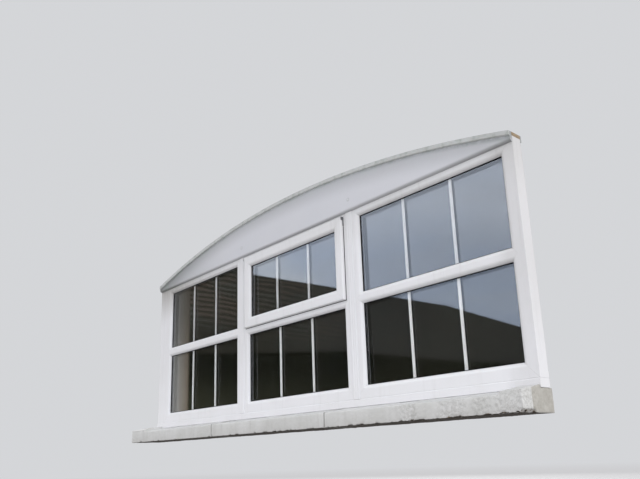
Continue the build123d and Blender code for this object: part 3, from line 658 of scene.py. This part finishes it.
def weatheredCopy(name, node, settings, material):
    # the slab's own solid, remeshed fine, with worn arrises, chips and lumpy old paint
    source = bmesh.new()
    source.from_mesh(nodes[node].data)
    bmesh.ops.remove_doubles(source, verts=source.verts, dist=settings["merge"])
    piece = placed(name, meshOf(name, source))
    remesh = piece.modifiers.new("even skin", "REMESH")
    remesh.mode = "VOXEL"
    remesh.voxel_size = settings["voxel"]
    solid = settled(piece)
    low, high = cadBounds
    windowLow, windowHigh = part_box("stub_cill")
    shift = Vector(settings["shift"])
    painted = {word: solid.attributes.new(word, "FLOAT", "POINT").data for word in wearNames}
    spots = [(vertex.co.copy(), vertex.normal.copy()) for vertex in solid.vertices]
    for vertex, (spot, normal) in zip(solid.vertices, spots):
        broad, rough, chips = (noise.fractal(spot * scale + shift, fade, settings["spread"], layers)
                               for scale, fade, layers in settings["lumps"])
        atFront = within(spot.y, low.y, low.y + settings["front"], settings["frontSoft"])
        patch = max(within(spot.x, first, last, settings["patchSoft"])
                    for first, last in settings["flakyPatches"])
        patch *= within(spot.y, low.y, low.y + settings["patchBack"], settings["patchSoft"])
        foot = within(spot.z, low.z, low.z + settings["foot"], settings["chipReach"]) * atFront
        arris = within(spot.z, low.z + settings["frontHeight"] - settings["arrisBelow"],
                       low.z + settings["arrisTop"], settings["arrisSoft"]) * atFront
        arris *= 1.0 if normal.z > settings["arrisFacing"] else 0.0
        endOn = within(spot.x, high.x - settings["end"], high.x, settings["endSoft"])
        chip = foot * max(0.0, min(1.0, (chips - settings["chipLevel"]) * settings["chipGain"]))
        dip = (settings["wave"] * (settings["waveLevel"] - broad)
               + settings["grain"] * (settings["grainLevel"] - rough))
        dip += (settings["edgeChip"] * chip
                + settings["arrisWear"] * arris * max(0.0, settings["arrisLevel"] + rough))
        dip += (settings["patchDepth"] * patch * max(0.0, settings["patchLevel"] - rough)
                * (settings["onEnd"] if endOn > 0.5 else settings["onFront"]))
        vertex.co = spot - normal * max(dip, 0.0)
        # down-facing faces: soot with painted shade under the sill, lighter on the broken corner's roof
        under = 1.0 if normal.z < settings["underFacing"] else 0.0
        broken = under * within(normal.x, settings["brokenSlope"], 1.0, settings["slopeSoft"])
        sootAndShadeMask = under * (1.0 - broken * settings["brokenClean"])
        builtIn = within(spot.y, settings["wallFace"], high.y, settings["rawFade"])
        outside = (spot.x < windowLow.x or spot.x > windowHigh.x - settings["rawEnd"]
                   or normal.y > settings["backFacing"])
        worn = {
            "bare": max(chip * (settings["chipBare"] + settings["chipPatchBare"] * patch),
                        foot * patch * settings["footBare"], sootAndShadeMask, patch * settings["patchBare"]),
            "flaky": max(patch, foot * settings["footFlaky"]),
            "sootAndShade": sootAndShadeMask * settings["sootAndShade"],
            "raw": builtIn if outside and not under else 0.0,
        }
        for word, amount in worn.items():
            painted[word][vertex.index].value = amount
    for polygon in solid.polygons:
        polygon.use_smooth = True
    solid.materials.clear()
    solid.materials.append(material)
    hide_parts(node)
    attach(piece, "window")
    return piece


for name in ("left", "centre", "right"):
    slab = weatheredCopy("weathered_slab_" + name, "sill_slab_" + name, sillSettings, materials["sill"])
    print("sill slab", name, len(slab.data.polygons), "faces")


screwSettings = {
    "headRadius": 0.0038, "headRise": 0.0011, "sides": 20,
    "rings": ((1.0, 0.0), (0.96, 0.45), (0.78, 0.8), (0.5, 0.97)), "dimple": 0.35,
    "plateShares": (0.04, 0.33, 0.5, 0.67, 0.96), "roseAside": 0.026,
    "sashSize": 0.8, "sashSeed": 3, "capSize": 1.5, "capSeed": 5,
}


def screwHead(settings):
    # domed head with a dimple in the middle, looking along +Z
    head = bmesh.new()
    sides, rise = settings["sides"], settings["headRise"]
    turns = [step * math.tau / sides for step in range(sides)]
    loops = []
    for share, lift in settings["rings"]:
        reach = settings["headRadius"] * share
        loops.append([head.verts.new((reach * math.cos(turn), reach * math.sin(turn), rise * lift))
                      for turn in turns])
    for outer, inner in zip(loops, loops[1:]):
        for step in range(sides):
            following = (step + 1) % sides
            head.faces.new((outer[step], outer[following], inner[following], inner[step]))
    centre = head.verts.new((0.0, 0.0, rise * settings["dimple"]))
    for step in range(sides):
        head.faces.new((loops[-1][step], loops[-1][(step + 1) % sides], centre))
    head.faces.new(list(reversed(loops[0])))
    bmesh.ops.recalc_face_normals(head, faces=head.faces)
    return placed("screw head", meshOf("screw head", head))


def screwTree(head):
    # instances of the head on points, each turned to its point's direction
    tree = bpy.data.node_groups.new("screws on points", "GeometryNodeTree")
    for word, way, kind in (("Geometry", "INPUT", "Geometry"), ("Size", "INPUT", "Float"),
                            ("Turn Seed", "INPUT", "Int"), ("Finish", "INPUT", "Material"),
                            ("Geometry", "OUTPUT", "Geometry")):
        tree.interface.new_socket(word, in_out=way, socket_type="NodeSocket" + kind)

    def add(kind, **values):
        made = tree.nodes.new(kind)
        for key, value in values.items():
            setattr(made, key, value)
        return made

    given = add("NodeGroupInput")
    shown = add("NodeGroupOutput")
    source = add("GeometryNodeObjectInfo")
    source.inputs["Object"].default_value = head
    facing = add("GeometryNodeInputNamedAttribute", data_type="FLOAT_VECTOR")
    facing.inputs["Name"].default_value = "facing"
    align = add("FunctionNodeAlignRotationToVector", axis="Z")
    turn = add("FunctionNodeRandomValue", data_type="FLOAT")
    turn.inputs[3].default_value = math.tau     # the largest turn
    spin = add("FunctionNodeAxisAngleToRotation")
    spin.inputs["Axis"].default_value = (0.0, 0.0, 1.0)
    both = add("FunctionNodeRotateRotation", rotation_space="LOCAL")
    instances = add("GeometryNodeInstanceOnPoints")
    real = add("GeometryNodeRealizeInstances")
    finish = add("GeometryNodeSetMaterial")
    for first, output, second, entry in (
            (given, "Geometry", instances, "Points"), (source, "Geometry", instances, "Instance"),
            (facing, "Attribute", align, "Vector"), (given, "Turn Seed", turn, "Seed"),
            (turn, 1, spin, "Angle"), (align, "Rotation", both, "Rotation"),
            (spin, "Rotation", both, "Rotate By"), (both, "Rotation", instances, "Rotation"),
            (given, "Size", instances, "Scale"), (instances, "Instances", real, "Geometry"),
            (real, "Geometry", finish, "Geometry"), (given, "Finish", finish, "Material"),
            (finish, "Geometry", shown, "Geometry")):
        tree.links.new(first.outputs[output], second.inputs[entry])
    return tree


def screws(name, body, places, tree, finish, size, seed):
    # places: (point, direction) pairs, one real mesh for the body
    mesh = bpy.data.meshes.new(name)
    mesh.from_pydata([tuple(point) for point, direction in places], [], [])
    facing = mesh.attributes.new("facing", "FLOAT_VECTOR", "POINT")
    for index, (point, direction) in enumerate(places):
        facing.data[index].vector = direction
    piece = placed(name, mesh)
    maker = piece.modifiers.new("screws", "NODES")
    maker.node_group = tree
    values = {"Size": size, "Turn Seed": seed, "Finish": finish}
    for item in tree.interface.items_tree:
        if item.in_out == "INPUT" and item.name in values:
            maker[item.identifier] = values[item.name]
    bpy.context.view_layer.update()
    settled(piece)
    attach(piece, body)


head = screwHead(screwSettings)
headTree = screwTree(head)
plateLow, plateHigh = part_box("lock_faceplate")
roseLow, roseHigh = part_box("handle_rose")
roseX, roseZ = (roseLow.x + roseHigh.x) / 2, (roseLow.z + roseHigh.z) / 2
sashScrews = []
for share in screwSettings["plateShares"]:
    x = plateLow.x + (plateHigh.x - plateLow.x) * share
    sashScrews.append((Vector((x, (plateLow.y + plateHigh.y) / 2, plateLow.z)), (0.0, 0.0, -1.0)))
for side in (-1, 1):
    x = roseX + side * screwSettings["roseAside"]
    sashScrews.append((Vector((x, roseHigh.y, roseZ)), (0.0, 1.0, 0.0)))
screws("sash_screws", "sash", sashScrews, headTree, materials["steel"],
       screwSettings["sashSize"], screwSettings["sashSeed"])
capPlaces = [(cap, (0.0, -1.0, 0.0)) for cap in boardCaps(boardSettings)]
screws("board_caps", "window", capPlaces, headTree, materials["trim"],
       screwSettings["capSize"], screwSettings["capSeed"])
bpy.data.objects.remove(head)
print("screws placed")


gasketAndGapShade = {"lip": 0.0032, "width": 0.007, "clear": 0.0002, "gap": 0.002, "soft": 0.0004, "segments": 2}


def edgeStrips(name, settings, material):
    # rubber lip in the gap behind the sash's flange, round its sides and bottom; its black also serves as
    # painted shade in the gap
    sashLow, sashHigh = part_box("sash_frame")
    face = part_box("centre_frame")[0].y
    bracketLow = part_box("pivot_brackets")[0]
    front, back = face - settings["gap"] + settings["clear"], face - settings["clear"]
    outLeft, outRight = sashLow.x - settings["lip"], sashHigh.x + settings["lip"]
    bottom, top = sashLow.z - settings["lip"], bracketLow.z - settings["lip"]
    width = settings["width"]
    strips = ((outLeft, outLeft + width, bottom, top), (outRight - width, outRight, bottom, top),
              (outLeft + width, outRight - width, bottom, bottom + width))
    made = bmesh.new()
    for left, right, low, high in strips:
        corners = [(x, y, z) for x in (left, right) for y in (front, back) for z in (low, high)]
        points = [made.verts.new(corner) for corner in corners]
        for loop in ((0, 1, 3, 2), (4, 6, 7, 5), (0, 4, 5, 1), (2, 3, 7, 6), (0, 2, 6, 4), (1, 5, 7, 3)):
            made.faces.new([points[index] for index in loop])
    bmesh.ops.recalc_face_normals(made, faces=made.faces)
    piece = placed(name, meshOf(name, made))
    soften = piece.modifiers.new("soft edges", "BEVEL")
    soften.width, soften.segments = settings["soft"], settings["segments"]
    piece.data.materials.append(material)
    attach(piece, "sash")


edgeStrips("sash_edge_gasket", gasketAndGapShade, materials["seal"])
print("edge gasket placed")


stage = {
    "floorDrop": 0.42, "floorHalf": 40.0, "fade": (4.0, 11.0),
    "backdrop": (0.66, 0.67, 0.69), "floor": (0.48, 0.48, 0.48),
}


def makeFloor(settings):
    # a lit floor that turns into the plain backdrop far away
    mesh = bpy.data.meshes.new("studio floor")
    half, level = settings["floorHalf"], cadBounds[0].z - settings["floorDrop"]
    corners = [(x * half, y * half, level) for x, y in ((-1, -1), (1, -1), (1, 1), (-1, 1))]
    mesh.from_pydata(corners, [], [(0, 1, 2, 3)])
    floor = placed("studio_floor", mesh)
    shade = Shade("Studio floor")
    x, y, z = shade.axes()
    seen = shade.wire("LightPath", output="Is Camera Ray")
    lit = shade.wire("BsdfDiffuse", None, {"Color": settings["floor"]})
    plain = shade.wire("Emission", None, {"Color": settings["backdrop"], "Strength": 1.0})
    factor = shade.apart(x, y).rise(*settings["fade"]) * seen
    mesh.materials.append(shade.finish(shade.wire("MixShader", None, {0: factor, 1: lit, 2: plain})))


makeFloor(stage)

# aside: how far a mirrored ray leans along the window; climb: how far it rises
world = {
    "level": 1.16, "above": (1.14, 1.14, 1.17), "aboveClimb": (0.1, 0.9),
    "beside": (0.94, 0.94, 0.96), "besideClimb": (-0.3, 0.25), "below": (0.46, 0.455, 0.45),
    "cloudStretch": (1.0, 1.0, 2.6), "clouds": (3.0, 4.0, 0.5), "cloudLift": 0.2,
    "pale": (1.42, 1.67, 2.14), "palest": (2.06, 2.29, 2.72), "palestClimb": (0.23, 0.39),
    "cloud": (1.90, 2.04, 2.20), "cloudAside": (1.05, 1.35), "cloudEdge": (0.35, 0.55),
    "wisp": (2.05, 2.15, 2.35), "wisps": 0.16, "wispStretch": (1.0, 1.0, 5.0),
    "wispCloud": (5.5, 3.0, 0.5), "wispEdge": (0.42, 0.62),
    "upperEdge": (0.3154, 0.0245, 0.9487), "sideEdge": (0.4050, -0.0537, 0.9127), "lowest": 0.05,
    "edgeSoft": 0.0015, "endOfPale": 1.455, "endSoft": 0.01,
    "dark": (0.125, 0.125, 0.118), "darkFar": (0.082, 0.078, 0.062), "darkAside": (1.0, 1.45),
    "bands": (0.235, 0.195, 0.165), "bandsCool": (0.20, 0.21, 0.19), "bandPatches": (14.0, 2.0, 0.5),
    "coolPatches": (0.4, 0.6), "bandPitch": 0.0075, "bandWander": 0.012, "bandReach": (0.06, 0.11),
    "bandAside": (0.5, 1.7), "bandLevel": 0.5, "bandSwing": 0.45,
    "foot": (0.018, 0.018, 0.010), "footPale": (0.085, 0.087, 0.055), "footClimb": (0.07, 0.14),
    "footStart": 0.0735, "footSlope": 0.08, "footTop": 0.157, "footSoft": 0.004,
    "strip": (1.755, 1.775, 1.87), "stripPale": (1.05, 1.06, 1.05), "stripBrown": (0.58, 0.48, 0.37),
    "stripClimb": (0.06, 0.26), "stripDark": 0.75,
    "roomLow": (0.30, 0.30, 0.31), "roomHigh": (0.90, 0.91, 0.94), "roomLift": 0.3,
    "roomClimb": (-0.3, 0.6), "roomSide": (-0.02, 0.06),
}


def mirrorCards(shade, settings, direction):
    # a pale cloudy card over a dark one with sloping edges, and a plain soft card on the room side
    x, y, z = shade.axes(direction)
    aside = x / y
    stretched = shade.stretched(settings["cloudStretch"], direction)
    clouds = shade.cloud(*settings["clouds"], stretched)
    climb = z + clouds.swing(settings["cloudLift"])
    pale = shade.blend(climb.rise(*settings["palestClimb"]), settings["pale"], settings["palest"])
    cloudy = aside.rise(*settings["cloudAside"]) * clouds.rise(*settings["cloudEdge"])
    pale = shade.blend(cloudy, pale, settings["cloud"])
    wisps = shade.cloud(*settings["wispCloud"], shade.stretched(settings["wispStretch"], direction))
    pale = shade.blend(wisps.rise(*settings["wispEdge"]) * settings["wisps"], pale, settings["wisp"])

    upper, side = (shade.wire("VectorMath", {"operation": "DOT_PRODUCT"},
                              {0: direction, 1: settings[edge]}, output="Value")
                   for edge in ("upperEdge", "sideEdge"))
    over = upper.higher(side).lower(z - settings["lowest"])
    patches = shade.cloud(*settings["bandPatches"], stretched)
    wander = patches.swing(settings["bandWander"])
    waves = shade.sum("SINE", (upper + wander) * (math.tau / settings["bandPitch"]))
    bands = (-over).fall(*settings["bandReach"]) * (settings["bandLevel"] + waves * settings["bandSwing"])
    bands = bands * aside.rise(*settings["bandAside"])
    bandTone = shade.blend(patches.rise(*settings["coolPatches"]), settings["bands"], settings["bandsCool"])
    foot = shade.blend(z.rise(*settings["footClimb"]), settings["footPale"], settings["foot"])
    footEdge = (aside * settings["footSlope"] + settings["footStart"]).lower(settings["footTop"])
    dark = shade.blend(aside.rise(*settings["darkAside"]), settings["dark"], settings["darkFar"])
    dark = shade.blend((z - footEdge).past(0.0, settings["footSoft"]), foot, dark)
    dark = shade.blend(bands, dark, bandTone)
    first, second, third = settings["strip"]
    strip = shade.blend(aside.rise(first, third), settings["stripBrown"], settings["stripPale"])
    strip = shade.blend(z.rise(*settings["stripClimb"]) * settings["stripDark"], strip, settings["dark"])
    dark = shade.blend(aside.rise(first, second), dark, strip)

    paleSide = 1 - aside.past(settings["endOfPale"], settings["endSoft"])
    cards = shade.blend(over.past(0.0, settings["edgeSoft"]) * paleSide, dark, pale)
    roomClimb = (z + clouds.swing(settings["roomLift"])).rise(*settings["roomClimb"])
    room = shade.blend(roomClimb, settings["roomLow"], settings["roomHigh"])
    return shade.blend(y.rise(*settings["roomSide"]), cards, room)


def makeWorld(settings, backdrop):
    # soft light from above, the cards for glass and polish, and a plain backdrop for the camera
    made = bpy.data.worlds.new("Studio")
    bpy.context.scene.world = made
    shade = Shade("Studio", made)
    direction = shade.wire("TexCoord", output="Generated")
    z = shade.axes(direction)[2]
    soft = shade.blend(z.rise(*settings["besideClimb"]), settings["below"], settings["beside"])
    soft = shade.blend(z.rise(*settings["aboveClimb"]), soft, settings["above"])
    cards = mirrorCards(shade, settings, direction)
    lit, mirrored, seen = (
        shade.wire("Background", None, {"Color": colour, "Strength": strength})
        for colour, strength in ((soft, settings["level"]), (cards, 1.0), (backdrop, 1.0)))
    camera, glossy, through = (
        shade.wire("LightPath", output=ray)
        for ray in ("Is Camera Ray", "Is Glossy Ray", "Is Transmission Ray"))
    surface = shade.wire("MixShader", None, {0: glossy.higher(through), 1: lit, 2: mirrored})
    surface = shade.wire("MixShader", None, {0: camera, 1: surface, 2: seen})
    shade.node("OutputWorld", None, {"Surface": surface})


makeWorld(world, stage["backdrop"])

lamps = {
    "front softbox": {"place": (0.2, -4.6, 0.0), "aim": (0.0, 0.0, 0.3),
                      "size": (4.6, 1.6), "power": 12.0},
    "right softbox": {"place": (10.6, -2.2, 1.4), "aim": (0.0, 0.0, 0.7),
                      "size": (4.0, 4.0), "power": 290.0},
    "room softbox": {"place": (-1.5, 3.6, 2.2), "aim": (0.0, 0.0, 0.7),
                     "size": (3.0, 2.0), "power": 60.0},
}
for name, lamp in lamps.items():
    data = bpy.data.lights.new(name, "AREA")
    data.shape = "RECTANGLE"
    data.size, data.size_y = lamp["size"]
    data.energy = lamp["power"]
    softbox = placed(name, data)
    softbox.location = lamp["place"]
    aim = Vector(lamp["aim"]) - softbox.location
    softbox.rotation_euler = aim.to_track_quat("-Z", "Y").to_euler()
    softbox.visible_glossy = False
    softbox.visible_transmission = False
    softbox.visible_camera = False

viewpoint = {
    "place": (3.149, -2.397, -0.1415), "turn": (104.7697, 1.7097, 49.5019),
    "lens": 36.0098, "sensor": 36.0, "shift": (0.00777, 0.07444), "clip": (0.05, 200.0),
}
cameraData = bpy.data.cameras.new("street view")
cameraData.sensor_width = viewpoint["sensor"]
cameraData.lens = viewpoint["lens"]
cameraData.shift_x, cameraData.shift_y = viewpoint["shift"]
cameraData.clip_start, cameraData.clip_end = viewpoint["clip"]
camera = placed("street view", cameraData)
camera.location = viewpoint["place"]
camera.rotation_euler = [math.radians(angle) for angle in viewpoint["turn"]]
bpy.context.scene.camera = camera
bpy.context.scene.view_settings.view_transform = "Standard"
print("studio ready")
